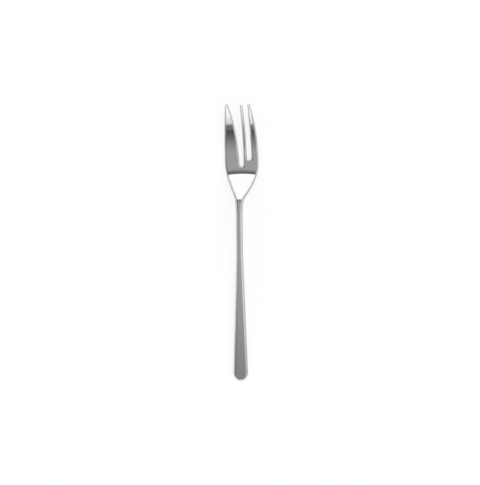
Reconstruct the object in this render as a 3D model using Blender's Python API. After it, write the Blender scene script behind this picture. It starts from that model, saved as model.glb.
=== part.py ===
"""Cake fork in two pieces: a pressed steel head whose tang sits in the socket of a tapered handle.

Plan coordinates: x runs across the fork from the handle's axis, s runs along it from the handle's
end. The cutting tine is at -x. In the world +Y points to the tines and +Z up from the table, with
the origin on the table under the middle of the fork. All sizes are in metres.
"""
import math

import bmesh
import bpy
import numpy as np
from mathutils.geometry import delaunay_2d_cdt

# Lengths along the fork
HANDLE_LENGTH = 0.1016
PARALLEL_LENGTH = 0.0316
FLARE_LENGTH = 0.0060
PALM_LENGTH = 0.0206
TINE_LENGTH = 0.0325
MIDDLE_SETBACK = 0.0004
INNER_SLOT_DEPTH = 0.0348
OUTER_SLOT_DEPTH = 0.0312
FILLET_LENGTH = 0.0022

# Widths, measured from the handle's axis where they lie to one side of it
HANDLE_NECK_WIDTH = 0.00405
HANDLE_END_WIDTH = 0.00820
HANDLE_END_ROUND = 0.0041
JOINT_LEFT = 0.0024
JOINT_RIGHT = 0.00288
FILLET_LEFT = 0.00304
FILLET_RIGHT = 0.00444
PALM_LEFT = 0.00783
PALM_RIGHT = 0.01118
CUTTING_TIP_X = -0.00652
MIDDLE_TIP_X = 0.00159
OUTER_TIP_X = 0.00585
CUTTING_TIP_RADIUS = 0.00084
MIDDLE_TIP_RADIUS = 0.00075
OUTER_TIP_RADIUS = 0.00068
INNER_SLOT_X = 0.00154
OUTER_SLOT_X = 0.00584
INNER_SLOT_RADIUS = 0.00104
OUTER_SLOT_RADIUS = 0.00122

# Leans of the plan edges: sideways travel for each unit of length
JOINT_LEAN_LEFT = 0.06
JOINT_LEAN_RIGHT = 0.30
FILLET_LEAN_LEFT = 0.39
FILLET_LEAN_RIGHT = 0.705
CUTTING_OUTER_LEANS = (-0.015, 0.06)
CUTTING_INNER_LEANS = (-0.075, -0.395)
MIDDLE_LEFT_LEANS = (0.01, -0.086)
MIDDLE_RIGHT_LEANS = (-0.022, -0.155)
OUTER_INNER_LEANS = (0.0, -0.058)
OUTER_OUTER_LEANS = (-0.015, -0.33)

# Side view: a shoulder bends down to a crease at the joint, the neck falls on from it, and a heel
# bends up into the bowl of the tines
SHOULDER_BEHIND_JOINT = 0.0072
SHOULDER_PAST_JOINT = 0.0043
HEEL_LENGTH = 0.0075
BELLY_SETBACK = 0.0027
LIP_FALL = math.tan(math.radians(11.2))
THROAT_FALL = math.tan(math.radians(18.5))
NECK_FALL = math.tan(math.radians(26))
TIP_RISE = math.tan(math.radians(23))
DISH_SETBACK = 0.0010
DISH_RUN = 0.0162

# Thicknesses and edge rounding
END_THICKNESS = 0.0022
JOINT_THICKNESS = 0.0030
PALM_THICKNESS = 0.0019
TIP_THICKNESS = 0.0011
CUTTING_EDGE_THICKNESS = 0.0009
GRIND_WIDTH = 0.0040
GRIND_RUN = 0.0080
HANDLE_EDGE_ROUND = 0.0015
END_EDGE_ROUND = 0.0008
HEAD_EDGE_ROUND = 0.00095
TIP_EDGE_ROUND = 0.0004
TANG_EDGE_ROUND = 0.0002

# Tang and socket
TANG_LENGTH = 0.0080
TANG_WIDTH = 0.0022
TANG_THICKNESS = 0.0013
TANG_EMBED = 0.0020
SOCKET_OVERRUN = 0.0010
CLEARANCE = 0.0003

# Sampling of the curves
EDGE_STEP = 0.0014
BEND_STEP = 0.0010
SKIN_STEP = 0.0019
SLOT_STEPS = 8
TIP_STEPS = 6
END_STEPS = 16
RIM_STEPS = 4
RIM_SHARE = 0.8
SMOOTH_ANGLE = math.radians(32)
WHOLE_HULL = 0
MERGE_DISTANCE = 1e-7

# Stations along the fork
S_HEAD = HANDLE_LENGTH + CLEARANCE
S_WIDE = S_HEAD + PALM_LENGTH
S_TIP = S_WIDE + TINE_LENGTH
S_BELLY = S_WIDE - BELLY_SETBACK
S_HEEL = S_BELLY - HEEL_LENGTH
S_NECK = HANDLE_LENGTH + SHOULDER_PAST_JOINT
S_SHOULDER = HANDLE_LENGTH - SHOULDER_BEHIND_JOINT
PALM_CENTRE = (PALM_RIGHT - PALM_LEFT) / 2
PALM_HALF = (PALM_RIGHT + PALM_LEFT) / 2


def handle_rise():
    """Slope of the handle that rests its end and the belly of the head on the same table."""
    crease_drop = (LIP_FALL + THROAT_FALL) / 2 * CLEARANCE
    shoulder_drop = LIP_FALL * SHOULDER_BEHIND_JOINT / 2 + crease_drop
    neck_drop = (THROAT_FALL + NECK_FALL) / 2 * (S_NECK - S_HEAD)
    heel_drop = NECK_FALL * (S_HEEL - S_NECK + HEEL_LENGTH / 2)
    rest_run = S_SHOULDER - END_EDGE_ROUND + SHOULDER_BEHIND_JOINT / 2
    return (shoulder_drop + neck_drop + heel_drop + (PALM_THICKNESS - END_THICKNESS) / 2) / rest_run


PROFILE_S = np.array((0.0, S_SHOULDER, HANDLE_LENGTH, S_HEAD, S_NECK, S_HEEL, S_BELLY, S_TIP))
PROFILE_SLOPE = np.array((handle_rise(), handle_rise(), -LIP_FALL, -THROAT_FALL, -NECK_FALL, -NECK_FALL,
                          0.0, TIP_RISE))


def slope_at(s):
    """Slope of the side profile, which changes evenly along each bend."""
    return np.interp(s, PROFILE_S, PROFILE_SLOPE)


def profile_height(s):
    """Height of the side profile's middle line: the slope summed up from the handle's end."""
    runs = np.diff(PROFILE_S)
    rises = runs * (PROFILE_SLOPE[:-1] + PROFILE_SLOPE[1:]) / 2
    knot_heights = np.concatenate(([0.0], np.cumsum(rises)))
    belly = list(PROFILE_S).index(S_BELLY)
    piece = np.clip(np.searchsorted(PROFILE_S, s, side="right") - 1, 0, len(runs) - 1)
    past = s - PROFILE_S[piece]
    bend = np.diff(PROFILE_SLOPE)[piece] / runs[piece]
    height = knot_heights[piece] + past * (PROFILE_SLOPE[piece] + bend * past / 2)
    return height - knot_heights[belly] + PALM_THICKNESS / 2


def middle_height(plan):
    """Height of the middle surface: across the palm each bend line bows back towards the handle."""
    x, s = plan[:, 0], plan[:, 1]
    fade = np.interp(s, (S_HEAD, S_HEEL, S_BELLY, S_BELLY + DISH_RUN), (0.0, 1.0, 1.0, 0.0))
    setback = DISH_SETBACK * fade * ((x - PALM_CENTRE) / PALM_HALF) ** 2
    return profile_height(s + setback)


def blade_halves(plan):
    """Heights of the upper and lower skin off the middle surface, for the handle and the head."""
    x, s = plan[:, 0], plan[:, 1]
    stations = (0.0, HANDLE_LENGTH, S_BELLY, S_TIP)
    thickness = np.interp(s, stations, (END_THICKNESS, JOINT_THICKNESS, PALM_THICKNESS, TIP_THICKNESS))
    half = thickness / 2 * np.sqrt(1 + slope_at(s) ** 2)
    across = np.clip((GRIND_WIDTH - PALM_LEFT - x) / GRIND_WIDTH, 0.0, 1.0)
    along = np.clip((s - S_WIDE) / GRIND_RUN, 0.0, 1.0)
    relief = np.clip(thickness - CUTTING_EDGE_THICKNESS, 0.0, None) * across * along
    return half, half - relief


def bar_halves(thickness):
    """Return a function that gives an even thickness, for the tang and its socket."""
    def halves(plan):
        half = thickness / 2 * np.sqrt(1 + slope_at(plan[:, 1]) ** 2)
        return half, half
    return halves


def bowed(start, end, leans, step=EDGE_STEP):
    """Plan edge from start to end, a cubic in s with the given lean at each end."""
    length = end[1] - start[1]
    t = np.linspace(0.0, 1.0, max(2, round(abs(length) / step)) + 1)
    x = (start[0] * (1 + 2 * t) * (1 - t) ** 2 + end[0] * t ** 2 * (3 - 2 * t)
         + length * (leans[0] * t * (1 - t) ** 2 - leans[1] * t ** 2 * (1 - t)))
    return np.column_stack((x, start[1] + length * t))


def straight(start, end, step):
    """Plan edge with even steps from start to end."""
    return bowed(start, end, ((end[0] - start[0]) / (end[1] - start[1]),) * 2, step)


def half_round(centre, across, along, steps):
    """Half ellipse from the +x side of its centre round to the -x side, bulging by along."""
    angle = np.linspace(0.0, math.pi, steps + 1)
    return np.column_stack((centre[0] + across * np.cos(angle), centre[1] + along * np.sin(angle)))


def chain(*runs):
    """Join runs of points end to end, without the point that each run repeats from the one before."""
    return np.concatenate([runs[0]] + [run[1:] for run in runs[1:]])


def tine(tip, radius, left_root, right_root, left_leans, right_leans):
    """Outline of one tine: up its right edge, round the tip and down its left edge."""
    centre = (tip[0], tip[1] - radius)
    up = bowed(right_root, (tip[0] + radius, centre[1]), right_leans)
    down = bowed(left_root, (tip[0] - radius, centre[1]), left_leans)[::-1]
    return chain(up, half_round(centre, radius, radius, TIP_STEPS), down)


def slot_root(slot_x, depth, radius):
    """Round bottom of a slot between two tines, from its right side to its left side."""
    return half_round((slot_x, S_TIP - depth + radius), radius, -radius, SLOT_STEPS)


def flank(joint, fillet, wide, leans):
    """Edge of the neck from the joint face through its fillet out to the widest line of the palm."""
    root = bowed((joint, S_HEAD), (fillet, S_HEAD + FILLET_LENGTH), leans[:2], BEND_STEP)
    return chain(root, bowed(root[-1], (wide, S_WIDE), leans[1:], BEND_STEP))


def head_outline():
    """Counter-clockwise outline of the head, open along the joint face."""
    inner = slot_root(INNER_SLOT_X, INNER_SLOT_DEPTH, INNER_SLOT_RADIUS)
    outer = slot_root(OUTER_SLOT_X, OUTER_SLOT_DEPTH, OUTER_SLOT_RADIUS)
    right = flank(JOINT_RIGHT, FILLET_RIGHT, PALM_RIGHT,
                  (JOINT_LEAN_RIGHT, FILLET_LEAN_RIGHT, OUTER_OUTER_LEANS[0]))
    left = flank(-JOINT_LEFT, -FILLET_LEFT, -PALM_LEFT,
                 (-JOINT_LEAN_LEFT, -FILLET_LEAN_LEFT, CUTTING_OUTER_LEANS[0]))
    outer_tine = tine((OUTER_TIP_X, S_TIP), OUTER_TIP_RADIUS, outer[0], right[-1],
                      OUTER_INNER_LEANS, OUTER_OUTER_LEANS)
    middle_tine = tine((MIDDLE_TIP_X, S_TIP - MIDDLE_SETBACK), MIDDLE_TIP_RADIUS, inner[0], outer[-1],
                       MIDDLE_LEFT_LEANS, MIDDLE_RIGHT_LEANS)
    cutting_tine = tine((CUTTING_TIP_X, S_TIP), CUTTING_TIP_RADIUS, left[-1], inner[-1],
                        CUTTING_OUTER_LEANS, CUTTING_INNER_LEANS)
    return chain(right, outer_tine, outer, middle_tine, inner, cutting_tine, left[::-1])


def handle_side(side, joint_x, joint_lean):
    """One side of the handle from its round end to the joint, where it flares to meet the head."""
    neck, end = side * HANDLE_NECK_WIDTH / 2, side * HANDLE_END_WIDTH / 2
    taper_s = HANDLE_LENGTH - PARALLEL_LENGTH
    taper = straight((end, HANDLE_END_ROUND), (neck, taper_s), PARALLEL_LENGTH)
    parallel = straight((neck, taper_s), (neck, S_SHOULDER), S_SHOULDER - taper_s)
    shoulder = straight((neck, S_SHOULDER), (neck, HANDLE_LENGTH), BEND_STEP)
    t = np.clip(1 - (HANDLE_LENGTH - shoulder[:, 1]) / FLARE_LENGTH, 0.0, 1.0)
    widening = (joint_x - abs(neck)) * t ** 2 * (3 - 2 * t) - FLARE_LENGTH * joint_lean * t ** 2 * (1 - t)
    shoulder[:, 0] += side * widening
    return chain(taper, parallel, shoulder)


def handle_outline():
    """Counter-clockwise outline of the handle, open along the joint face."""
    left = handle_side(-1, JOINT_LEFT, JOINT_LEAN_LEFT)[::-1]
    right = handle_side(1, JOINT_RIGHT, JOINT_LEAN_RIGHT)
    end = half_round((0.0, HANDLE_END_ROUND), -HANDLE_END_WIDTH / 2, -HANDLE_END_ROUND, END_STEPS)
    return chain(left, end, right)


def bar_outline(width, back_s, front_s):
    """Counter-clockwise outline of a bar along the handle's axis, open along its front."""
    right = straight((width / 2, back_s), (width / 2, front_s), BEND_STEP)
    return np.concatenate(((right * (-1, 1))[::-1], right))


def inward(outline):
    """Vectors that carry each outline point one unit in from its edges; the open ends slide along x."""
    edge = np.diff(outline, axis=0)
    normal = np.column_stack((-edge[:, 1], edge[:, 0])) / np.linalg.norm(edge, axis=1)[:, None]
    joined = normal[:-1] + normal[1:]
    mitre = 2 * joined / np.sum(joined ** 2, axis=1)[:, None]
    ends = [(1 / n[0], 0.0) for n in (normal[0], normal[-1])]
    return np.concatenate(([ends[0]], mitre, [ends[1]]))


def skin_points(ring):
    """Points of an even grid that lie clear of a ring, to carry the curve of the skin inside it."""
    low, high = ring.min(axis=0) + SKIN_STEP, ring.max(axis=0)
    grid = np.stack(np.meshgrid(*(np.arange(a, b, SKIN_STEP) for a, b in zip(low, high))), axis=-1)
    points = grid.reshape(-1, 2)
    nearest = np.linalg.norm(points[:, None] - ring[None], axis=2).min(axis=1)
    return points[nearest > SKIN_STEP * RIM_SHARE]


def head_rounds(outline):
    """Rim radius of the head: the handle's at the joint face, then finer to the heel and to the tips."""
    stations = (S_HEAD, S_HEEL, S_TIP)
    return np.interp(outline[:, 1], stations, (HANDLE_EDGE_ROUND, HEAD_EDGE_ROUND, TIP_EDGE_ROUND))


def handle_rounds(outline):
    """Rim radius of the handle: even along its sides and finer round its end."""
    return np.interp(outline[:, 1], (0.0, HANDLE_END_ROUND), (END_EDGE_ROUND, HANDLE_EDGE_ROUND))


def shell_rings(outline, rounds, halves):
    """Rings of x, s, z points from the upper skin over the rounded rim to the lower skin."""
    inset = inward(outline) * rounds[:, None]
    turns = np.linspace(0.0, math.pi / 2, RIM_STEPS + 1)
    rings = []
    for side, sign, angles in ((0, 1, turns), (1, -1, turns[::-1])):
        for angle in angles:
            plan = outline + inset * (1 - math.sin(angle))
            half = halves(plan)[side]
            drop = np.minimum(rounds, half * RIM_SHARE) * (1 - math.cos(angle))
            rings.append(np.column_stack((plan, middle_height(plan) + sign * (half - drop))))
    return rings


def plate(name, outline, rounds, halves, curved_skin=False):
    """Closed solid: rings bridged round the rim, and an upper and a lower skin filled inside them."""
    rings = shell_rings(outline, rounds, halves)
    count = len(outline)
    inner = rings[0][:, :2]
    extra = skin_points(inner) if curved_skin else np.empty((0, 2))
    fill = np.concatenate((inner, extra))
    loop = [(i, (i + 1) % count) for i in range(count)]
    filled = delaunay_2d_cdt(fill.tolist(), [], [range(count)], WHOLE_HULL, MERGE_DISTANCE, True)
    triangles = [triangle for triangle, source in zip(filled[2], filled[5]) if source]
    bm = bmesh.new()
    ring_verts = [[bm.verts.new(point) for point in ring] for ring in rings]
    for upper, lower in zip(ring_verts, ring_verts[1:]):
        for a, b in loop:
            bm.faces.new((upper[a], lower[a], lower[b], upper[b]))
    for ring, side, sign in ((ring_verts[0], 0, 1), (ring_verts[-1], 1, -1)):
        points = np.column_stack((extra, middle_height(extra) + sign * halves(extra)[side]))
        skin = ring + [bm.verts.new(point) for point in points]
        for triangle in triangles:
            bm.faces.new([skin[i] for i in triangle][::sign])
    bmesh.ops.delete(bm, geom=[v for v in bm.verts if not v.link_faces], context="VERTS")
    mesh = bpy.data.meshes.new(name)
    bm.to_mesh(mesh)
    bm.free()
    mesh.shade_smooth()
    mesh.set_sharp_from_angle(angle=SMOOTH_ANGLE)
    obj = bpy.data.objects.new(name, mesh)
    bpy.context.scene.collection.objects.link(obj)
    return obj


def bar(name, back_s, front_s, room):
    """Solid of the tang from its back to its front, with some room all round it for the socket."""
    outline = bar_outline(TANG_WIDTH + 2 * room, back_s, front_s)
    rounds = np.full(len(outline), TANG_EDGE_ROUND + room)
    return plate(name, outline, rounds, bar_halves(TANG_THICKNESS + 2 * room))


def steel(name, colour, roughness):
    """Bare steel with its own colour and polish."""
    material = bpy.data.materials.new(name)
    material.use_nodes = True
    shader = material.node_tree.nodes["Principled BSDF"]
    shader.inputs["Base Color"].default_value = (*colour, 1.0)
    shader.inputs["Metallic"].default_value = 1.0
    shader.inputs["Roughness"].default_value = roughness
    return material


def combine(target, tool, operation):
    """Join a hidden tool solid to a piece, or cut it out of the piece."""
    tool.hide_render = True
    tool.display_type = "WIRE"
    modifier = target.modifiers.new(tool.name, "BOOLEAN")
    modifier.operation = operation
    modifier.solver = "EXACT"
    modifier.object = tool


def make_head():
    """Three tines, palm and neck pressed from one blank, with the tang behind the joint face."""
    outline = head_outline()
    head = plate("fork_head", outline, head_rounds(outline), blade_halves, curved_skin=True)
    tang = bar("tang_form", HANDLE_LENGTH - TANG_LENGTH, S_HEAD + TANG_EMBED, 0.0)
    combine(head, tang, "UNION")
    head.data.materials.append(steel("polished_steel", (0.60, 0.60, 0.59), 0.16))
    return head, tang


def make_handle():
    """Tapered bar with a round end, bored for the tang from its joint face."""
    outline = handle_outline()
    handle = plate("handle", outline, handle_rounds(outline), blade_halves)
    back_s = HANDLE_LENGTH - TANG_LENGTH - CLEARANCE
    socket = bar("socket_form", back_s, HANDLE_LENGTH + SOCKET_OVERRUN, CLEARANCE)
    combine(handle, socket, "DIFFERENCE")
    handle.data.materials.append(steel("satin_steel", (0.57, 0.57, 0.56), 0.24))
    return handle, socket


def main():
    """Clear the scene, make the pieces and set them in the fork's frame."""
    for obj in list(bpy.data.objects):
        bpy.data.objects.remove(obj)
    across = head_outline()[:, 0]
    frame = bpy.data.objects.new("fork_frame", None)
    frame.location = (-(across.min() + across.max()) / 2, -S_TIP / 2, 0.0)
    bpy.context.scene.collection.objects.link(frame)
    for piece in (*make_head(), *make_handle()):
        piece.parent = frame


main()
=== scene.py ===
"""Looks of the cake fork: a polished head and a satin handle on a white table in soft studio light.

Plan coordinates follow the solids: x runs across the fork from the handle's axis, s runs along it
from the handle's end, and z is the height in the frame. All sizes are in metres.
"""
import logging
import math
from dataclasses import dataclass
from enum import Enum, IntEnum

import bmesh
import bpy
import numpy as np
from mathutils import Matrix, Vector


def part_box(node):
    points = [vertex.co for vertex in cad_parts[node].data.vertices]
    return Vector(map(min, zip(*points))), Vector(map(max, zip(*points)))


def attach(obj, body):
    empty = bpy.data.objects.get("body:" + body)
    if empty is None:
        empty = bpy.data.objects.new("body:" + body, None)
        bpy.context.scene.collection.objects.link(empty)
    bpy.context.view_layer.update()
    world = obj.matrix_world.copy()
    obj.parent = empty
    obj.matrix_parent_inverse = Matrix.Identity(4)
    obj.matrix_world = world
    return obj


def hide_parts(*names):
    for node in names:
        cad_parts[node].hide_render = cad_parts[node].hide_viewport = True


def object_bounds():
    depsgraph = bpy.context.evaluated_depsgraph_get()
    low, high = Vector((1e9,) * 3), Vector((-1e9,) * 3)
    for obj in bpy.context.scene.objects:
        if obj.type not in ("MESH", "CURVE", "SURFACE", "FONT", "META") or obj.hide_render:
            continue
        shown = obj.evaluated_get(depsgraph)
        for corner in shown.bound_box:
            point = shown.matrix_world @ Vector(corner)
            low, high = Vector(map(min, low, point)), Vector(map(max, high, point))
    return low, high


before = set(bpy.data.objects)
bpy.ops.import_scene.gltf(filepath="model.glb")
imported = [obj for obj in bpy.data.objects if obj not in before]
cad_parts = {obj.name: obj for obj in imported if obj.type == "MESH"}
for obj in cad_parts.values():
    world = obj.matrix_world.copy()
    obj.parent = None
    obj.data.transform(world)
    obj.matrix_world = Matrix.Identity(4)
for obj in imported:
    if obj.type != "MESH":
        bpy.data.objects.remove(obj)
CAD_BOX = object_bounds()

Array = np.ndarray
Pair = tuple[float, float]
Triple = tuple[float, float, float]
Tree = bpy.types.NodeTree
Socket = bpy.types.NodeSocket
WHITE = (1.0, 1.0, 1.0, 1.0)
LOG = logging.getLogger("cake_fork")


class Skin(Enum):
    """The two broad faces of a pressed piece, with the sign of their height off its middle."""

    UPPER = 1.0
    LOWER = -1.0


class Slot(Enum):
    """Material slots of the record."""

    HEAD = "head_steel"
    HANDLE = "handle_steel"


class Layer(Enum):
    """Values that the meshes carry for their materials."""

    EDGE = "edge"


class Run(IntEnum):
    """Runs of the head's outline in order, from the right of the joint face round to its left."""

    RIGHT_FLANK = 0
    OUTER_RIGHT = 1
    OUTER_LEFT = 2
    OUTER_SLOT = 3
    MIDDLE_RIGHT = 4
    MIDDLE_LEFT = 5
    INNER_SLOT = 6
    CUTTING_RIGHT = 7
    CUTTING_LEFT = 8
    LEFT_FLANK = 9


class Heading(Enum):
    """Ways in which a panel of the light tent lies off straight up, each along an axis."""

    ACROSS = "X"
    ALONG = "Y"

    @property
    def other(self) -> "Heading":
        """The heading at right angles to this one."""
        return Heading.ALONG if self is Heading.ACROSS else Heading.ACROSS


# The right and the left side of each tine
TINE_RUNS = (
    (Run.OUTER_RIGHT, Run.OUTER_LEFT),
    (Run.MIDDLE_RIGHT, Run.MIDDLE_LEFT),
    (Run.CUTTING_RIGHT, Run.CUTTING_LEFT),
)

# Each side of a tine, with the side that faces it
FACING_RUNS = TINE_RUNS + tuple((left, right) for right, left in TINE_RUNS)


def cubic_edge(start: Pair, end: Pair, leans: Pair, count: int) -> Array:
    """Plan edge whose x is a cubic in s with the given lean, dx over ds, at each end.

    Args:
        start: First point, as x and s.
        end: Last point, as x and s.
        leans: Lean at the first and at the last point.
        count: Number of points, even in s.

    Returns:
        Points as an array of count by 2.
    """
    run = end[1] - start[1]
    t = np.linspace(0.0, 1.0, count)
    x = (start[0] * (1 + 2 * t) * (1 - t) ** 2 + end[0] * t ** 2 * (3 - 2 * t)
         + run * (leans[0] * t * (1 - t) ** 2 - leans[1] * t ** 2 * (1 - t)))
    return np.column_stack((x, start[1] + run * t))


def arc(centre: Pair, across: float, along: float, turn: Pair, count: int) -> Array:
    """Part of an ellipse: centre plus across times the cosine in x and along times the sine in s.

    Args:
        centre: Middle of the ellipse, as x and s.
        across: Half axis in x, negative to mirror it.
        along: Half axis in s.
        turn: First and last angle in degrees, from +x towards +s.
        count: Number of points, even in angle.

    Returns:
        Points as an array of count by 2.
    """
    angle = np.radians(np.linspace(*turn, count))
    return np.column_stack((centre[0] + across * np.cos(angle), centre[1] + along * np.sin(angle)))


def chain(*runs: Array) -> Array:
    """Join runs of points end to end, leaving out the point that each run shares with the last."""
    return np.concatenate([runs[0]] + [run[1:] for run in runs[1:]])


def resample(path: Array, count: int, crowding: float = 0.0) -> Array:
    """Points along a path at set shares of its length.

    The share at step t is t mixed with half of one minus the cosine of a half turn times t, so
    crowding from 0 to 1 draws the points together at both ends.

    Args:
        path: Dense points of the path.
        count: Number of points wanted.
        crowding: How much of the cosine to mix in.

    Returns:
        Points as an array of count by 2.
    """
    steps = np.hypot(*np.diff(path, axis=0).T)
    travelled = np.concatenate(([0.0], np.cumsum(steps)))
    t = np.linspace(0.0, 1.0, count)
    share = (1 - crowding) * t + crowding * (1 - np.cos(np.pi * t)) / 2
    wanted = share * travelled[-1]
    return np.column_stack([np.interp(wanted, travelled, path[:, axis]) for axis in (0, 1)])


def inward(outline: Array, reach: float) -> Array:
    """Unit steps into a counter-clockwise outline, which turn to slide along x at its open ends.

    Each is the mean of the left-hand normals of the two edges that meet there. Within reach of the
    joint face its part along s fades out, so that no step crosses the face.

    Args:
        outline: Outline points, open along the joint face.
        reach: How far from the joint face the steps begin to turn.

    Returns:
        One vector a point.
    """
    edge = np.diff(outline, axis=0)
    normal = np.column_stack((-edge[:, 1], edge[:, 0])) / np.hypot(*edge.T)[:, None]
    normal = np.concatenate((normal[:1], normal, normal[-1:]))
    step = normal[:-1] + normal[1:]
    step[:, 1] *= np.clip(np.abs(outline[:, 1] - outline[0, 1]) / reach, 0.0, 1.0)
    return step / np.linalg.norm(step, axis=1)[:, None]


def ruled(left: Array, right: Array, count: int) -> Array:
    """Grid of straight rungs between two edges: left times one minus u plus right times u."""
    u = np.linspace(0.0, 1.0, count)[None, :, None]
    return left[:, None] * (1 - u) + right[:, None] * u


def x_shares(row: Array) -> Array:
    """How far each point of a row lies across it in x, from 0 at its first to 1 at its last."""
    return (row[:, 0] - row[0, 0]) / (row[-1, 0] - row[0, 0])


def coons(bottom: Array, top: Array, left: Array, right: Array) -> Array:
    """Grid that blends four border curves: the two rulings added, less the ruling of the corners.

    Args:
        bottom: Lower border from left to right.
        top: Upper border from left to right, with as many points as bottom.
        left: Left border from bottom to top.
        right: Right border from bottom to top, with as many points as left.

    Returns:
        Grid of points, rows from bottom to top and columns from left to right.
    """
    u = x_shares(top)[None, :, None]
    v = np.linspace(0.0, 1.0, len(left))[:, None, None]
    along = bottom[None] * (1 - v) + top[None] * v
    across = left[:, None] * (1 - u) + right[:, None] * u
    low = bottom[0] * (1 - u) + bottom[-1] * u
    high = top[0] * (1 - u) + top[-1] * u
    return along + across - low * (1 - v) - high * v


def weld_grids(
    name: str, grids: list[Array], edges: list[Array], weld: float, sharp: float
) -> bpy.types.Object:
    """Turn grids of points into one closed, smooth mesh object.

    Args:
        name: Name of the object.
        grids: Point grids whose borders meet.
        edges: For each grid point, how far it lies out on the rim, from 0 to 1.
        weld: Distance under which border points become one.
        sharp: Angle past which an edge stays sharp.

    Returns:
        The linked object, at the origin.
    """
    points = np.concatenate([grid.reshape(-1, 3) for grid in grids])
    starts = np.cumsum([0] + [grid.shape[0] * grid.shape[1] for grid in grids])
    quads = []
    for grid, start in zip(grids, starts):
        index = start + np.arange(grid.shape[0] * grid.shape[1]).reshape(grid.shape[:2])
        corners = (index[:-1, :-1], index[:-1, 1:], index[1:, 1:], index[1:, :-1])
        quads.append(np.stack(corners, axis=-1).reshape(-1, 4))
    mesh = bpy.data.meshes.new(name)
    mesh.from_pydata(points.tolist(), [], np.concatenate(quads).tolist())
    layer = mesh.attributes.new(Layer.EDGE.value, "FLOAT", "POINT")
    layer.data.foreach_set("value", np.concatenate([edge.ravel() for edge in edges]))
    bm = bmesh.new()
    bm.from_mesh(mesh)
    bmesh.ops.remove_doubles(bm, verts=bm.verts, dist=weld)
    bmesh.ops.recalc_face_normals(bm, faces=bm.faces)
    bm.to_mesh(mesh)
    bm.free()
    mesh.shade_smooth()
    mesh.set_sharp_from_angle(angle=sharp)
    piece = bpy.data.objects.new(name, mesh)
    bpy.context.scene.collection.objects.link(piece)
    return piece


@dataclass(frozen=True)
class Seat:
    """Where the plan lies in the frame: the handle's axis and end, and the table."""

    axis_x: float
    end_y: float
    table_z: float

    @classmethod
    def from_frame(cls) -> "Seat":
        """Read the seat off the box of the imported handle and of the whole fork."""
        low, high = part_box("handle")
        return cls((low.x + high.x) / 2, low.y, CAD_BOX[0].z)

    def world(self, points: Array) -> Array:
        """Carry plan points of x, s and z into the frame."""
        return points + (self.axis_x, self.end_y, 0.0)


@dataclass(frozen=True)
class SideProfile:
    """Side view of the fork: straight handle, shoulder, straight neck, heel and sweep of the tines.

    The slope changes evenly along each bend, so the height is a chain of parabolas.
    """

    shoulder_s: float = 0.0944
    neck_s: float = 0.1059
    heel_s: float = 0.1123
    belly_s: float = 0.1198
    tip_s: float = 0.1550
    lip_fall: float = math.tan(math.radians(11.2))
    throat_fall: float = math.tan(math.radians(18.5))
    neck_fall: float = math.tan(math.radians(26))
    tip_rise: float = math.tan(math.radians(23))
    end_thickness: float = 0.0022
    joint_thickness: float = 0.0030
    palm_thickness: float = 0.0019
    tip_thickness: float = 0.0011
    joint_s: float = 0.1016
    crease: float = 0.0001
    rest_s: float = 0.0008

    def knots(self) -> tuple[Array, Array]:
        """Stations of the bends and the slope of the middle line at each.

        The handle rises so that its end and the belly of the head rest on one table: its slope is
        the fall from the shoulder to the belly, plus half of the palm's thickness less the end's,
        over the run of the handle and half of its shoulder.

        Returns:
            The stations, and the slope at each of them.
        """
        bend = (self.joint_s - self.shoulder_s) / 2
        throat = (self.throat_fall + self.neck_fall) / 2 * (self.neck_s - self.joint_s)
        neck = self.neck_fall * (self.heel_s - self.neck_s + (self.belly_s - self.heel_s) / 2)
        drop = self.lip_fall * bend + throat + neck
        run = self.shoulder_s - self.rest_s + bend
        rise = (drop + (self.palm_thickness - self.end_thickness) / 2) / run
        knots = (
            (0.0, rise),
            (self.shoulder_s, rise),
            (self.joint_s, -self.lip_fall),
            (self.joint_s + self.crease, -self.throat_fall),
            (self.neck_s, -self.neck_fall),
            (self.heel_s, -self.neck_fall),
            (self.belly_s, 0.0),
            (self.tip_s, self.tip_rise),
        )
        stations, slopes = np.array(knots).T
        return stations, slopes

    def slope(self, s: Array) -> Array:
        """Slope of the middle line at each station."""
        return np.interp(s, *self.knots())

    def height(self, s: Array) -> Array:
        """Height of the middle line: the slope summed from the belly, which rests on the table.

        Past a knot it is the knot's level plus the way past it times the knot's slope, plus half of
        the change of slope along the bend times the square of that way.

        Args:
            s: Stations along the fork.

        Returns:
            One height a station.
        """
        stations, slopes = self.knots()
        runs = np.diff(stations)
        levels = np.concatenate(([0.0], np.cumsum(runs * (slopes[:-1] + slopes[1:]) / 2)))
        piece = np.clip(np.searchsorted(stations, s, side="right") - 1, 0, len(runs) - 1)
        past = s - stations[piece]
        level = levels[piece] + past * (slopes[piece] + np.diff(slopes)[piece] / runs[piece] * past / 2)
        return level - np.interp(self.belly_s, stations, levels) + self.palm_thickness / 2

    def thickness(self, s: Array) -> Array:
        """Thickness of the steel, drawn out evenly between its gauged stations.

        Args:
            s: Stations along the fork.

        Returns:
            One thickness a station.
        """
        stations = (0.0, self.joint_s, self.belly_s, self.tip_s)
        gauges = (self.end_thickness, self.joint_thickness, self.palm_thickness, self.tip_thickness)
        return np.interp(s, stations, gauges)


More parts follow.
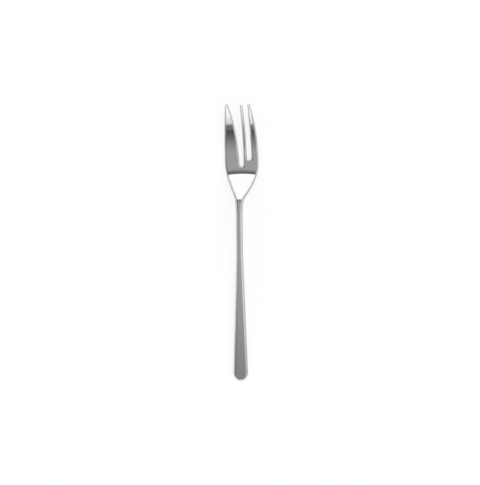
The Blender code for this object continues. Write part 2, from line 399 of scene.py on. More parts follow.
@dataclass(frozen=True)
class Tang:
    """Bar behind the head's joint face, and the socket of the same shape in the handle."""

    length: float = 0.0080
    width: float = 0.0022
    thickness: float = 0.0013
    clearance: float = 0.0003
    nose: float = 0.7
    steps: int = 10

    def rows(self, section: Array, profile: SideProfile, room: float) -> Array:
        """Rings from a joint face in to the end of the tang or of its socket.

        Each ring is the face's own section, shrunk to the bar's width and thickness and carried
        back along the middle line; the last two rings draw in to the end and close it.

        Args:
            section: Closed ring of the joint face, as x, s and z.
            profile: Side view that the bar follows.
            room: Room left all round the bar, nothing for the tang itself.

        Returns:
            Grid of rings by ring points by 3.
        """
        face_s = section[0, 1]
        back_s = face_s - self.length - room
        along = np.linspace(face_s, back_s, self.steps)
        stations = np.concatenate(([face_s], along, [back_s, back_s]))
        size = np.ptp(section, axis=0)
        wide = np.full(len(stations), (self.width + 2 * room) / size[0])
        thick = np.full(len(stations), (self.thickness + 2 * room) / size[2])
        shrink = np.ones(len(stations))
        shrink[-2:] = (self.nose, 0.0)
        wide[0] = thick[0] = 1.0
        x = section[None, :, 0] * (wide * shrink)[:, None]
        off = section[:, 2] - profile.height(np.array([face_s]))
        z = profile.height(stations)[:, None] + off[None] * (thick * shrink)[:, None]
        return np.stack((x, np.broadcast_to(stations[:, None], x.shape), z), axis=-1)


@dataclass
class PressedPiece:
    """Steel pressed between two skins, with a rounded rim carried round its plan outline."""

    name: str
    node: str
    slot: Slot
    seat: Seat
    profile: SideProfile
    tang: Tang
    crowding: float = 0.8
    rim_steps: int = 10
    rim_share: float = 0.85
    joint_reach: float = 0.0020
    weld: float = 2e-7
    sharp: float = math.radians(40)

    def outline(self) -> Array:
        """Counter-clockwise plan outline, open along the joint face."""
        raise NotImplementedError

    def rim_width(self, outline: Array) -> Array:
        """Width of the rounded rim in plan at each outline point."""
        raise NotImplementedError

    def patches(self, ring: Array) -> list[Array]:
        """Plan grids that fill the inner ring, rows along s and columns along x."""
        raise NotImplementedError

    def joint_row(self, patches: list[Array]) -> Array:
        """Plan row of the skin along the joint face, from left to right."""
        raise NotImplementedError

    def room(self) -> float:
        """Room left round the tang behind the joint face, none for the tang itself."""
        return 0.0

    def middle(self, plan: Array) -> Array:
        """Height of the middle surface."""
        return self.profile.height(plan[..., 1])

    def half(self, plan: Array, skin: Skin) -> Array:
        """Height of a skin off the middle surface, upright, so thicker where the profile slopes."""
        s = plan[..., 1]
        return self.profile.thickness(s) / 2 * np.sqrt(1 + self.profile.slope(s) ** 2)

    def lifted(self, plan: Array, skin: Skin, drop: Array | float = 0.0) -> Array:
        """Plan points lifted on to a skin, or the given drop below it."""
        z = self.middle(plan) + skin.value * (self.half(plan, skin) - drop)
        return np.concatenate((plan, z[..., None]), axis=-1)

    def rim(self, outline: Array) -> Array:
        """Rim as a quarter ellipse carried round the outline for each skin.

        At angle a from the skin, a point lies the rim's width times one minus sin a inside the
        outline, and the ellipse's depth times one minus cos a below the skin.

        Args:
            outline: Plan outline.

        Returns:
            Grid of rim rows, from the upper skin down to the lower skin, by outline points by 3.
        """
        width = self.rim_width(outline)
        step = inward(outline, self.joint_reach) * width[:, None]
        angle = np.linspace(0.0, np.pi / 2, self.rim_steps)[:, None]
        plan = outline[None] + step[None] * (1 - np.sin(angle))[..., None]
        halves = []
        for skin in Skin:
            depth = np.minimum(width[None], self.half(plan, skin) * self.rim_share)
            halves.append(self.lifted(plan, skin, depth * (1 - np.cos(angle))))
        return np.concatenate((halves[0], halves[1][::-1]))

    def section(self, rim: Array, row: Array) -> Array:
        """Closed ring of the joint face: upper skin, right rim, lower skin and left rim.

        Args:
            rim: Grid of the rim.
            row: Plan row of the skin along the joint face.

        Returns:
            Ring points as x, s and z.
        """
        left, right = sorted((rim[:, 0], rim[:, -1]), key=lambda column: column[0, 0])
        upper = self.lifted(row, Skin.UPPER)
        lower = self.lifted(row, Skin.LOWER)[::-1]
        return chain(upper, right, lower, left[::-1])

    def build(self) -> bpy.types.Object:
        """Make the closed mesh, stand it for its node and put it on the root body.

        Returns:
            The piece, still without a material.
        """
        rim = self.rim(self.outline())
        patches = self.patches(rim[0, :, :2])
        skins = [self.lifted(patch, skin) for patch in patches for skin in Skin]
        section = self.section(rim, self.joint_row(patches))
        inset = self.tang.rows(section, self.profile, self.room())
        grids = [self.seat.world(grid) for grid in (*skins, rim, inset)]
        swell = np.sin(np.linspace(0.0, np.pi, len(rim)))[:, None]
        edges = [np.zeros(grid.shape[:2]) for grid in skins]
        edges += [np.broadcast_to(swell, rim.shape[:2]), np.zeros(inset.shape[:2])]
        piece = weld_grids(self.name, grids, edges, self.weld, self.sharp)
        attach(piece, "root")
        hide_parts(self.node)
        return piece

    def dress(self, piece: bpy.types.Object, steel: bpy.types.Material) -> None:
        """Give the piece its steel."""
        piece.data.materials.append(steel)


@dataclass(frozen=True)
class TinePlan:
    """Plan of one tine: its tip and the leans of its two edges at the root and at the tip."""

    tip_x: float
    tip_s: float
    left_leans: Pair
    right_leans: Pair
    tip_radius: float

    def edge(self, root: Pair, hand: float, leans: Pair, count: int) -> Array:
        """One edge from its root up to the very tip: a cubic, then a quarter of the round tip.

        Args:
            root: Where the edge starts, as x and s.
            hand: Minus one for the left edge and one for the right.
            leans: Lean of the edge at its root and at its tip.
            count: Number of points of the cubic and of the quarter round.

        Returns:
            Points as an array of two columns.
        """
        centre = (self.tip_x, self.tip_s - self.tip_radius)
        side = cubic_edge(root, (self.tip_x + hand * self.tip_radius, centre[1]), leans, count)
        return chain(side, arc(centre, hand * self.tip_radius, self.tip_radius, (0, 90), count))

    def left(self, root: Pair, count: int) -> Array:
        """Left edge from its root up to the very tip."""
        return self.edge(root, -1.0, self.left_leans, count)

    def right(self, root: Pair, count: int) -> Array:
        """Right edge from its root up to the very tip."""
        return self.edge(root, 1.0, self.right_leans, count)


@dataclass(frozen=True)
class SlotPlan:
    """Round-bottomed slot between two tines, split where its sides pass to the tines."""

    middle_x: float
    bottom_s: float
    radius: float
    split: float = 40.0

    def part(self, turn: Pair, count: int) -> Array:
        """Part of the round bottom between two angles in degrees."""
        centre = (self.middle_x, self.bottom_s + self.radius)
        return arc(centre, self.radius, self.radius, turn, count)

    def left_side(self, count: int) -> Array:
        """Left side from the split up, which the tine on the left goes on from."""
        return self.part((180 + self.split, 180), count)

    def right_side(self, count: int) -> Array:
        """Right side from the split up, which the tine on the right goes on from."""
        return self.part((-self.split, 0), count)

    def bottom(self, count: int) -> Array:
        """Bottom between the splits, from right to left."""
        return self.part((-self.split, self.split - 180), count)


@dataclass
class ForkHead(PressedPiece):
    """Neck, palm and three tines: a broad cutting tine on the left and two slender ones."""

    face_s: float = 0.10168
    fillet_s: float = 0.1041
    wide_s: float = 0.1225
    joint_left: Pair = (-0.0024, -0.06)
    joint_right: Pair = (0.00288, 0.30)
    fillet_left: Pair = (-0.00304, -0.39)
    fillet_right: Pair = (0.00444, 0.705)
    wide_left: float = -0.00783
    wide_right: float = 0.01118
    cutting: TinePlan = TinePlan(-0.00652, 0.1550, (-0.015, 0.06), (-0.075, -0.395), 0.00084)
    middle_tine: TinePlan = TinePlan(0.00159, 0.1546, (0.01, -0.098), (-0.022, -0.155), 0.00075)
    outer: TinePlan = TinePlan(0.00585, 0.1550, (0.0, -0.058), (-0.015, -0.33), 0.00068)
    inner_slot: SlotPlan = SlotPlan(0.00158, 0.1202, 0.00108)
    outer_slot: SlotPlan = SlotPlan(0.00584, 0.1238, 0.00122)
    joint_rim: float = 0.0015
    palm_rim: float = 0.00095
    rim_to_width: float = 0.46
    rim_spare: float = 0.00006
    rim_most: float = 0.485
    least_sideways: float = 1e-6
    dish: float = 0.0010
    dish_end_s: float = 0.1360
    cutting_edge: float = 0.0009
    grind_width: float = 0.0040
    grind_run: float = 0.0080
    tine_count: int = 150
    flank_count: int = 90
    slot_count: int = 25
    rung_count: int = 15

    def tine_side(self, *parts: Array) -> Array:
        """Side of a tine from its root to its tip, with points drawn together at both."""
        return resample(chain(*parts), self.tine_count, self.crowding)

    def flank(self, joint: Pair, fillet: Pair, wide: Pair, lean: float) -> Array:
        """Edge of the neck: out of the joint through a small fillet, then on to the palm.

        Args:
            joint: Place in x and lean of the edge at the joint face.
            fillet: Place in x and lean of the edge past the fillet.
            wide: Where the palm is widest, as x and s.
            lean: Lean of the edge there.

        Returns:
            Points as an array of flank_count by 2.
        """
        corner = (joint[0], self.face_s)
        bend = (fillet[0], self.fillet_s)
        root = cubic_edge(corner, bend, (joint[1], fillet[1]), self.flank_count)
        side = cubic_edge(bend, wide, (fillet[1], lean), self.flank_count)
        return resample(chain(root, side), self.flank_count)

    def sides(self) -> list[Array]:
        """Runs of the outline, each from the end that it shares with the run before.

        Returns:
            One array of points for each Run, in its order.
        """
        n = self.tine_count
        cutting, middle, outer = self.cutting, self.middle_tine, self.outer
        wide_right = (self.wide_right, self.wide_s)
        wide_left = (self.wide_left, self.wide_s)
        inner_left, inner_right = self.inner_slot.left_side(n), self.inner_slot.right_side(n)
        outer_left, outer_right = self.outer_slot.left_side(n), self.outer_slot.right_side(n)
        return [
            self.flank(self.joint_right, self.fillet_right, wide_right, outer.right_leans[0]),
            self.tine_side(outer.right(wide_right, n)),
            self.tine_side(outer_right, outer.left(outer_right[-1], n))[::-1],
            self.outer_slot.bottom(self.slot_count),
            self.tine_side(outer_left, middle.right(outer_left[-1], n)),
            self.tine_side(inner_right, middle.left(inner_right[-1], n))[::-1],
            self.inner_slot.bottom(self.slot_count),
            self.tine_side(inner_left, cutting.right(inner_left[-1], n)),
            self.tine_side(cutting.left(wide_left, n))[::-1],
            self.flank(self.joint_left, self.fillet_left, wide_left, cutting.left_leans[0])[::-1],
        ]

    def outline(self) -> Array:
        """Counter-clockwise plan outline, open along the joint face."""
        return chain(*self.sides())

    def run_slices(self) -> list[slice]:
        """Where each run lies in the outline; neighbours share a point.

        Returns:
            One slice for each Run, in its order.
        """
        lengths = np.array([len(run) for run in self.sides()])
        starts = np.concatenate(([0], np.cumsum(lengths - 1)[:-1]))
        return [slice(start, start + length) for start, length in zip(starts, lengths)]

    def tine_width(self, side: Array, facing: Array) -> Array:
        """Width of a tine from each point of one side straight across to the side that faces it."""
        far_x, far_s = facing[np.argsort(facing[:, 1])].T
        return np.abs(side[:, 0] - np.interp(side[:, 1], far_s, far_x))

    def rim_width(self, outline: Array) -> Array:
        """Width of the rim: the handle's at the joint, narrower on the palm and with each tine.

        On a tine it is a share of the tine's own width plus a little to spare, up to the palm's. It
        also stays under the length of a step that would end at the middle of the tine, so that the
        rims of both sides don't cross.

        Args:
            outline: Plan outline.

        Returns:
            One width a point.
        """
        stations = (self.face_s, self.profile.heel_s)
        width = np.interp(outline[:, 1], stations, (self.joint_rim, self.palm_rim))
        sideways = np.abs(inward(outline, self.joint_reach)[:, 0])
        runs = self.run_slices()
        for side, facing in FACING_RUNS:
            across = self.tine_width(outline[runs[side]], outline[runs[facing]])
            most = self.rim_most * across / np.maximum(sideways[runs[side]], self.least_sideways)
            fit = np.minimum(self.palm_rim, self.rim_to_width * across + self.rim_spare)
            width[runs[side]] = np.minimum(fit, np.maximum(most, self.rim_spare))
        return width

    def patches(self, ring: Array) -> list[Array]:
        """Grids of the palm, which runs from the joint face to the roots, and of the three tines.

        Args:
            ring: Inner border of the rim, in the outline's order.

        Returns:
            The palm, the outer tine, the middle tine and the cutting tine.
        """
        run = [ring[part] for part in self.run_slices()]
        tines = [ruled(run[left][::-1], run[right], self.rung_count) for right, left in TINE_RUNS]
        outer, middle, cutting = tines
        inner_slot, outer_slot = run[Run.INNER_SLOT][::-1], run[Run.OUTER_SLOT][::-1]
        top = chain(cutting[0], inner_slot, middle[0], outer_slot, outer[0])
        share = x_shares(top)[:, None]
        bottom = ring[-1] * (1 - share) + ring[0] * share
        palm = coons(bottom, top, run[Run.LEFT_FLANK][::-1], run[Run.RIGHT_FLANK])
        return [palm, *tines]

    def joint_row(self, patches: list[Array]) -> Array:
        """Plan row of the palm along the joint face."""
        return patches[0][0]

    def middle(self, plan: Array) -> Array:
        """Height of the middle surface: the heel's bend line bows back at the sides of the palm.

        The side view is read further along by the dish times the square of the way out from the
        palm's centre line, and that fades out towards the joint and along the tines.

        Args:
            plan: Plan points.

        Returns:
            One height a point.
        """
        x, s = plan[..., 0], plan[..., 1]
        centre = (self.wide_right + self.wide_left) / 2
        half = (self.wide_right - self.wide_left) / 2
        stations = (self.face_s, self.profile.heel_s, self.profile.belly_s, self.dish_end_s)
        fade = np.interp(s, stations, (0, 1, 1, 0))
        return self.profile.height(s + self.dish * fade * ((x - centre) / half) ** 2)

    def half(self, plan: Array, skin: Skin) -> Array:
        """Height of a skin off the middle; below, the cutting tine is ground thin to its edge.

        The grind takes off what the steel has to spare over the cutting edge, in proportion to the
        way out towards the edge and to the way up the tine.

        Args:
            plan: Plan points.
            skin: Which skin.

        Returns:
            One height a point.
        """
        half = super().half(plan, skin)
        if skin is Skin.UPPER:
            return half
        x, s = plan[..., 0], plan[..., 1]
        across = np.clip((self.grind_width + self.wide_left - x) / self.grind_width, 0.0, 1.0)
        along = np.clip((s - self.wide_s) / self.grind_run, 0.0, 1.0)
        spare = np.clip(self.profile.thickness(s) - self.cutting_edge, 0.0, None)
        return half - spare * across * along


@dataclass
class Handle(PressedPiece):
    """Slim bar, parallel behind the neck and then widening to its round end."""

    face_s: float = 0.1016
    flare_s: float = 0.0956
    taper_s: float = 0.0700
    joint_left: Pair = (-0.0024, -0.06)
    joint_right: Pair = (0.00288, 0.30)
    neck_half: float = 0.002025
    end_half: float = 0.0041
    end_round: float = 0.0046
    rim_across: float = 0.0015
    end_rim: float = 0.0008
    side_count: int = 260
    rung_count: int = 15

    def room(self) -> float:
        """Room left round the tang in the handle's socket."""
        return self.tang.clearance

    def side(self, joint: Pair) -> Array:
        """One side, from the joint face down to the middle of the round end.

        Args:
            joint: Place in x and lean of the side at the joint face.

        Returns:
            Points as an array of side_count by 2.
        """
        n = self.side_count
        hand = math.copysign(1.0, joint[0])
        neck_x, end_x = hand * self.neck_half, hand * self.end_half
        lean = (neck_x - end_x) / (self.taper_s - self.end_round)
        flare = cubic_edge((joint[0], self.face_s), (neck_x, self.flare_s), (joint[1], 0), n)
        neck = cubic_edge((neck_x, self.flare_s), (neck_x, self.taper_s), (0, 0), n)
        taper = cubic_edge((neck_x, self.taper_s), (end_x, self.end_round), (lean, lean), n)
        end = arc((0.0, self.end_round), end_x, self.end_round, (0, -90), n)
        return resample(chain(flare, neck, taper, end), n, self.crowding)

    def outline(self) -> Array:
        """Counter-clockwise plan outline, open along the joint face."""
        return chain(self.side(self.joint_left), self.side(self.joint_right)[::-1])

    def rim_width(self, outline: Array) -> Array:
        """Width of the rim: even along the sides and narrower round the end."""
        return np.interp(outline[:, 1], (0.0, self.end_round), (self.end_rim, self.rim_across))

    def patches(self, ring: Array) -> list[Array]:
        """One grid from the round end up to the joint face.

        Args:
            ring: Inner border of the rim, in the outline's order.

        Returns:
            That grid alone.
        """
        left = ring[:self.side_count][::-1]
        right = ring[self.side_count - 1:]
        return [ruled(left, right, self.rung_count)]

    def joint_row(self, patches: list[Array]) -> Array:
        """Plan row of the skin along the joint face."""
        return patches[0][-1]


def add_node(
    tree: Tree, kind: str, inputs: dict[str | int, object] | None = None, **settings: object
) -> bpy.types.Node:
    """Add a node, set its properties and feed its inputs.

    Args:
        tree: Node tree that gets the node.
        kind: Class of the node.
        inputs: For each input, by name or number, the socket that feeds it or its plain value.
        settings: Properties of the node.

    Returns:
        The new node.
    """
    node = tree.nodes.new(kind)
    for key, value in settings.items():
        setattr(node, key, value)
    for key, value in (inputs or {}).items():
        if isinstance(value, bpy.types.NodeSocket):
            tree.links.new(value, node.inputs[key])
        else:
            node.inputs[key].default_value = value
    return node


def compute(tree: Tree, operation: str, *values: object, **settings: object) -> Socket:
    """Result of a maths node that is fed with sockets or plain values, in their order."""
    inputs = dict(enumerate(values))
    return add_node(tree, "ShaderNodeMath", inputs, operation=operation, **settings).outputs["Value"]


def ease(tree: Tree, value: Socket, edge: Pair, ends: Pair = (0.0, 1.0)) -> Socket:
    """Value that passes smoothly from one end to the other while another crosses an edge.

    Args:
        tree: Node tree that gets the node.
        value: What crosses the edge.
        edge: Where the edge begins and where it is full, rising or falling.
        ends: Result before and past the edge.

    Returns:
        The eased value.
    """
    node = add_node(tree, "ShaderNodeMapRange", {
        "Value": value,
        "From Min": edge[0],
        "From Max": edge[1],
        "To Min": ends[0],
        "To Max": ends[1],
    }, interpolation_type="SMOOTHSTEP")
    return node.outputs["Result"]


@dataclass(frozen=True)
class Buffing:
    """Fine buffing lines, soft smudges and hairline scratches, shared by both steels.

    Lines are a noise squeezed across the buffing direction and drawn out along it. Smudges are a
    broad noise. Scratches are the borders of long cells that lie askew to the lines, kept only where
    the smudges are strong.
    """

    line_detail: float = 5.0
    line_roughness: float = 0.65
    smudge_scale: float = 90.0
    smudge_detail: float = 3.0
    skew: float = 0.35
    cell_density: Triple = (520.0, 45.0, 520.0)
    hairline: Pair = (0.012, 0.0)
    rubbed: Pair = (0.48, 0.60)

    def group(self) -> Tree:
        """Build the node group.

        Returns:
            The group, with Vector and Density in, and Lines, Smudges and Scratches out, all 0 to 1.
        """
        tree = bpy.data.node_groups.new("buffing", "ShaderNodeTree")
        for name in ("Vector", "Density"):
            tree.interface.new_socket(name, in_out="INPUT", socket_type="NodeSocketVector")
        for name in ("Lines", "Smudges", "Scratches"):
            tree.interface.new_socket(name, in_out="OUTPUT", socket_type="NodeSocketFloat")
        source = add_node(tree, "NodeGroupInput")
        place = source.outputs["Vector"]
        squeeze = add_node(tree, "ShaderNodeVectorMath", {
            0: place,
            1: source.outputs["Density"],
        }, operation="MULTIPLY")
        lines = add_node(tree, "ShaderNodeTexNoise", {
            "Vector": squeeze.outputs["Vector"],
            "Scale": 1.0,
            "Detail": self.line_detail,
            "Roughness": self.line_roughness,
        })
        smudges = add_node(tree, "ShaderNodeTexNoise", {
            "Vector": place,
            "Scale": self.smudge_scale,
            "Detail": self.smudge_detail,
        })
        add_node(tree, "NodeGroupOutput", {
            "Lines": lines.outputs["Fac"],
            "Smudges": smudges.outputs["Fac"],
            "Scratches": self.scratches(tree, place, smudges.outputs["Fac"]),
        })
        return tree

    def scratches(self, tree: Tree, place: Socket, smudges: Socket) -> Socket:
        """Borders of the askew cells, one on a border and nothing off it, where smudges are strong.

        Args:
            tree: Node tree of the group.
            place: Coordinates of the surface.
            smudges: Strength of the smudges.

        Returns:
            How scratched the surface is, from 0 to 1.
        """
        turned = add_node(tree, "ShaderNodeVectorRotate", {
            "Vector": place,
            "Angle": self.skew,
        }, rotation_type="Z_AXIS")
        stretch = add_node(tree, "ShaderNodeVectorMath", {
            0: turned.outputs["Vector"],
            1: self.cell_density,
        }, operation="MULTIPLY")
        cells = add_node(tree, "ShaderNodeTexVoronoi", {
            "Vector": stretch.outputs["Vector"],
            "Scale": 1.0,
        }, feature="DISTANCE_TO_EDGE")
        borders = ease(tree, cells.outputs["Distance"], self.hairline)
        return compute(tree, "MULTIPLY", borders, ease(tree, smudges, self.rubbed))


@dataclass(frozen=True)
class SteelFinish:
    """Bare steel: its greys, its polish, its buffing lines, and how much painted shade darkens its grey
    towards the handle's end.

    The depths are the height of the buffing lines, and a scratch's share of that. The span of the
    painted shade gives the places along the fork, in the frame, where it begins and where it is full;
    it stands in for the handle's reflection growing darker towards its end.
    """

    name: str
    dark: Triple
    light: Triple
    roughness: Pair
    line_depth: float
    density: Triple = (1300.0, 22.0, 1300.0)
    scratch_depth: float = 1.0
    scratch_roughness: float = 0.12
    rim_polish: float = 0.5
    # Painted shade: how much darker the grey gets towards the handle's end, standing in for the
    # reflection's fall-off
    painted_shade: float = 0.0
    shade_span: Pair = (-0.030, -0.085)

    def material(self, group: Tree) -> bpy.types.Material:
        """Build the steel.

        Args:
            group: Buffing lines, smudges and scratches.

        Returns:
            A metal whose grey, polish and relief follow the group, with a finer polish on the rims.
        """
        material = bpy.data.materials.new(self.name)
        material.use_nodes = True
        tree = material.node_tree
        shader = tree.nodes["Principled BSDF"]
        shader.inputs["Metallic"].default_value = 1.0
        place = add_node(tree, "ShaderNodeTexCoord").outputs["Object"]
        buffing = add_node(tree, "ShaderNodeGroup", node_tree=group)
        buffing.inputs["Density"].default_value = self.density
        tree.links.new(place, buffing.inputs["Vector"])
        tree.links.new(self.grey(tree, place, buffing), shader.inputs["Base Color"])
        tree.links.new(self.polish(tree, buffing), shader.inputs["Roughness"])
        tree.links.new(self.relief(tree, buffing), shader.inputs["Normal"])
        return material

    def grey(self, tree: Tree, place: Socket, buffing: bpy.types.Node) -> Socket:
        """Grey of the steel: dark mixed with light by the lines, with painted shade that darkens it
        towards the handle's end.

        Args:
            tree: Node tree of the material.
            place: Object coordinates.
            buffing: Node of the buffing group.

        Returns:
            The colour.
        """
        grey = add_node(tree, "ShaderNodeMix", {
            "Factor": buffing.outputs["Lines"],
            "A": (*self.dark, 1.0),
            "B": (*self.light, 1.0),
        }, data_type="RGBA")
        axes = add_node(tree, "ShaderNodeSeparateXYZ", {"Vector": place})
        # Painted shade: the grey is scaled down along the fork towards the handle's end
        shaded_grey = add_node(tree, "ShaderNodeVectorMath", {
            0: grey.outputs["Result"],
            "Scale": ease(tree, axes.outputs["Y"], self.shade_span, (1.0, 1.0 - self.painted_shade)),
        }, operation="SCALE")
        return shaded_grey.outputs["Vector"]

    def polish(self, tree: Tree, buffing: bpy.types.Node) -> Socket:
        """Roughness: it grows with the smudges, is finer out on the rims, and scratches add to it.

        Args:
            tree: Node tree of the material.
            buffing: Node of the buffing group.

        Returns:
            The roughness.
        """
        rim = add_node(tree, "ShaderNodeAttribute", attribute_name=Layer.EDGE.value)
        finer, smudges = rim.outputs["Fac"], buffing.outputs["Smudges"]
        plain = add_node(tree, "ShaderNodeMapRange", {
            "Value": compute(tree, "MULTIPLY_ADD", finer, -self.rim_polish, smudges, use_clamp=True),
            "To Min": self.roughness[0],
            "To Max": self.roughness[1],
        }).outputs["Result"]
        scratches = buffing.outputs["Scratches"]
        return compute(tree, "MULTIPLY_ADD", scratches, self.scratch_roughness, plain)

    def relief(self, tree: Tree, buffing: bpy.types.Node) -> Socket:
        """Normal of the buffing lines, less the scratches cut into them.

        Args:
            tree: Node tree of the material.
            buffing: Node of the buffing group.

        Returns:
            The normal.
        """
        lines, scratches = buffing.outputs["Lines"], buffing.outputs["Scratches"]
        bump = add_node(tree, "ShaderNodeBump", {
            "Strength": 1.0,
            "Distance": self.line_depth,
            "Height": compute(tree, "MULTIPLY_ADD", scratches, -self.scratch_depth, lines),
        })
        return bump.outputs["Normal"]


POLISHED = SteelFinish(
    "polished_steel",
    dark=(0.57, 0.57, 0.565),
    light=(0.63, 0.63, 0.625),
    roughness=(0.03, 0.065),
    line_depth=6.0e-7,
)
SATIN = SteelFinish(
    "satin_steel",
    dark=(0.60, 0.60, 0.595),
    light=(0.73, 0.73, 0.725),
    roughness=(0.07, 0.14),
    line_depth=1.6e-6,
    # Painted shade: the grey is a fifth darker at the handle's end
    painted_shade=0.20,
)


@dataclass(frozen=True)
class Panel:
    """Cloth of the light tent that begins at one angle off straight up and is full at another.

    Angles are in degrees, positive to the right and towards the tines, and negative to the left and
    towards the handle. Where beyond is set, it hangs only past such angles of the other heading.
    """

    heading: Heading
    edge: Pair
    level: float
    beyond: Pair | None = None


@dataclass
class Studio:
    """White table, soft tent of light and the camera straight above the fork."""

    seat: Seat
    table_half: float = 1.5
    table_colour: Triple = (0.4, 0.4, 0.4)
    table_lift: float = 0.714
    camera_height: float = 1.2
    image_height: float = 485.0
    metres_per_pixel: float = 0.0005602
    camera_place: Pair = (-0.00136, 0.00010)
    camera_roll: float = -0.0099
    focus_height: float = 0.005
    ceiling: float = 0.54
    panels: tuple[Panel, ...] = (
        # Dim strips next to the ceiling, to the left and towards either end of the fork
        Panel(Heading.ACROSS, (-0.6, -5.0), 0.30),
        Panel(Heading.ALONG, (-6.0, -25.5), 0.105),
        Panel(Heading.ALONG, (10.0, 30.0), 0.185),
        Panel(Heading.ALONG, (-23.8, -25.0), 0.25),
        # Left side, its stretches towards either end of the fork, and its bright far wall
        Panel(Heading.ACROSS, (-2.0, -8.0), 0.46, (-5.5, -8.0)),
        Panel(Heading.ACROSS, (-2.0, -8.0), 0.25, (-9.5, -13.0)),
        Panel(Heading.ACROSS, (-2.0, -8.0), 0.25, (2.0, 12.0)),
        Panel(Heading.ACROSS, (-8.0, -16.0), 0.48, (-19.0, -23.0)),
        Panel(Heading.ACROSS, (-46.0, -56.0), 1.30),
        # Bright right side, and its stretches towards the handle
        Panel(Heading.ACROSS, (9.0, 16.0), 0.85),
        Panel(Heading.ACROSS, (5.5, 11.0), 1.00, (-4.5, -7.5)),
        Panel(Heading.ACROSS, (3.0, 6.0), 0.36, (-10.5, -12.5)),
        Panel(Heading.ACROSS, (9.0, 16.0), 0.88, (-10.5, -12.5)),
        Panel(Heading.ACROSS, (4.0, 10.0), 0.82, (-18.0, -22.0)),
        # White wall towards the handle
        Panel(Heading.ALONG, (-27.2, -29.0), 1.12),
        Panel(Heading.ALONG, (-29.5, -35.0), 1.55),
        # White wall towards the tines, with softer upper corners
        Panel(Heading.ALONG, (32.4, 34.4), 1.65),
        Panel(Heading.ACROSS, (-7.0, -12.0), 0.70, (28.0, 33.0)),
        Panel(Heading.ACROSS, (6.0, 11.0), 0.88, (28.0, 33.0)),
        Panel(Heading.ALONG, (39.0, 44.0), 1.65),
        # Sides of both walls, less bright
        Panel(Heading.ACROSS, (-10.0, -18.0), 0.60, (-26.0, -30.0)),
        Panel(Heading.ACROSS, (-10.0, -18.0), 1.00, (-34.0, -42.0)),
        Panel(Heading.ACROSS, (10.0, 18.0), 0.95, (-26.0, -30.0)),
        Panel(Heading.ACROSS, (-9.0, -14.0), 1.00, (39.0, 44.0)),
        Panel(Heading.ACROSS, (9.0, 14.0), 0.95, (39.0, 44.0)),
        # Dim skirt all round, above the table
        Panel(Heading.ACROSS, (60.0, 74.0), 0.60),
        Panel(Heading.ACROSS, (-66.0, -78.0), 0.60),
        Panel(Heading.ALONG, (57.5, 63.0), 0.35),
        Panel(Heading.ALONG, (-60.0, -74.0), 0.35),
    )

    def table(self) -> bpy.types.Object:
        """White table top under the fork.

        Returns:
            The table.
        """
        half = self.table_half
        corners = [(-half, -half), (half, -half), (half, half), (-half, half)]
        mesh = bpy.data.meshes.new("table")
        mesh.from_pydata([(x, y, self.seat.table_z) for x, y in corners], [], [(0, 1, 2, 3)])
        mesh.materials.append(self.table_top())
        table = bpy.data.objects.new("table", mesh)
        bpy.context.scene.collection.objects.link(table)
        return table

    def table_top(self) -> bpy.types.Material:
        """Matt white that takes the fork's shadow, lifted to plain white where a ray sees it.

        Returns:
            The table's material.
        """
        material = bpy.data.materials.new("white_table")
        material.use_nodes = True
        tree = material.node_tree
        shader = tree.nodes["Principled BSDF"]
        shader.inputs["Base Color"].default_value = (*self.table_colour, 1.0)
        shader.inputs["Roughness"].default_value = 1.0
        shader.inputs["Specular IOR Level"].default_value = 0.0
        shader.inputs["Emission Color"].default_value = WHITE
        lift = compute(tree, "MULTIPLY", self.seen(tree), self.table_lift)
        tree.links.new(lift, shader.inputs["Emission Strength"])
        return material

    def seen(self, tree: Tree) -> Socket:
        """One for a camera, glossy or transmission ray, and nothing for any other.

        Args:
            tree: Node tree of the table's material.

        Returns:
            The greatest of the three.
        """
        path = add_node(tree, "ShaderNodeLightPath")
        seen = path.outputs["Is Camera Ray"]
        for kind in ("Is Glossy Ray", "Is Transmission Ray"):
            seen = compute(tree, "MAXIMUM", seen, path.outputs[kind])
        return seen

    def tilt(self, tree: Tree, axes: bpy.types.Node, heading: Heading) -> Socket:
        """Angle of a direction from straight up towards a heading, in degrees."""
        turn = compute(tree, "ARCTAN2", axes.outputs[heading.value], axes.outputs["Z"])
        return compute(tree, "DEGREES", turn)

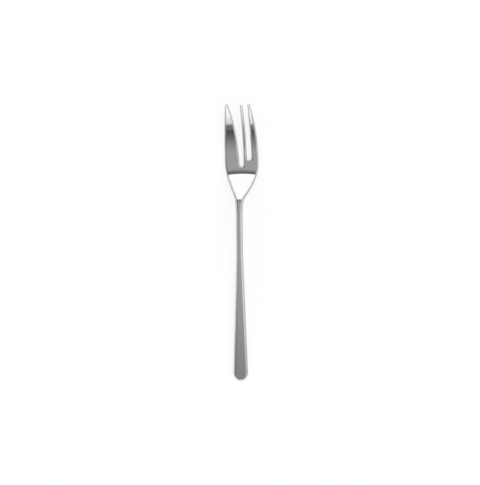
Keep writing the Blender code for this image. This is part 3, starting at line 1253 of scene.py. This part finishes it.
    def tent(self, tree: Tree) -> Socket:
        """Level of the tent: a grey ceiling, and panels that each cover what was hung before them.

        Args:
            tree: Node tree of the world.

        Returns:
            The level in the direction of a ray.
        """
        place = add_node(tree, "ShaderNodeTexCoord")
        axes = add_node(tree, "ShaderNodeSeparateXYZ", {"Vector": place.outputs["Generated"]})
        tilts = {heading: self.tilt(tree, axes, heading) for heading in Heading}
        level: float | Socket = self.ceiling
        for panel in self.panels:
            weight = ease(tree, tilts[panel.heading], panel.edge)
            if panel.beyond:
                past = ease(tree, tilts[panel.heading.other], panel.beyond)
                weight = compute(tree, "MULTIPLY", weight, past)
            mix = add_node(tree, "ShaderNodeMix", {
                "Factor": weight,
                "A": level,
                "B": panel.level,
            }, data_type="FLOAT")
            level = mix.outputs["Result"]
        return level

    def light(self) -> None:
        """World that is plain white to the camera and the tent of light to every other ray."""
        world = bpy.data.worlds.new("light_tent")
        bpy.context.scene.world = world
        world.use_nodes = True
        tree = world.node_tree
        path = add_node(tree, "ShaderNodeLightPath")
        strength = add_node(tree, "ShaderNodeMix", {
            "Factor": path.outputs["Is Camera Ray"],
            "A": self.tent(tree),
            "B": 1.0,
        }, data_type="FLOAT")
        background = tree.nodes["Background"]
        background.inputs["Color"].default_value = WHITE
        tree.links.new(strength.outputs["Result"], background.inputs["Strength"])

    def camera(self) -> bpy.types.Object:
        """Camera straight above the fork, with the photograph's framing.

        The lens is the sensor's width times the camera's reach over the height of what it sees.

        Returns:
            The scene's camera.
        """
        data = bpy.data.cameras.new("camera")
        reach = self.camera_height - self.focus_height
        data.lens = data.sensor_width * reach / (self.image_height * self.metres_per_pixel)
        camera = bpy.data.objects.new("camera", data)
        camera.location = (*self.camera_place, self.camera_height)
        camera.rotation_euler = (0.0, 0.0, self.camera_roll)
        bpy.context.scene.collection.objects.link(camera)
        bpy.context.scene.camera = camera
        return camera


def main() -> None:
    """Build the fork's pieces, dress them, and set up the table, the light and the camera."""
    logging.basicConfig(level=logging.INFO, format="%(message)s")
    bpy.context.scene.view_settings.view_transform = "Standard"
    seat = Seat.from_frame()
    profile = SideProfile()
    tang = Tang()
    group = Buffing().group()
    pieces = (
        (ForkHead("head", "fork_head", Slot.HEAD, seat, profile, tang), POLISHED),
        (Handle("grip", "handle", Slot.HANDLE, seat, profile, tang), SATIN),
    )
    for piece, finish in pieces:
        made = piece.build()
        piece.dress(made, finish.material(group))
        LOG.info("%s: %d faces of %s", made.name, len(made.data.polygons), finish.name)
    studio = Studio(seat)
    studio.table()
    studio.light()
    studio.camera()


if __name__ == "__main__":
    main()
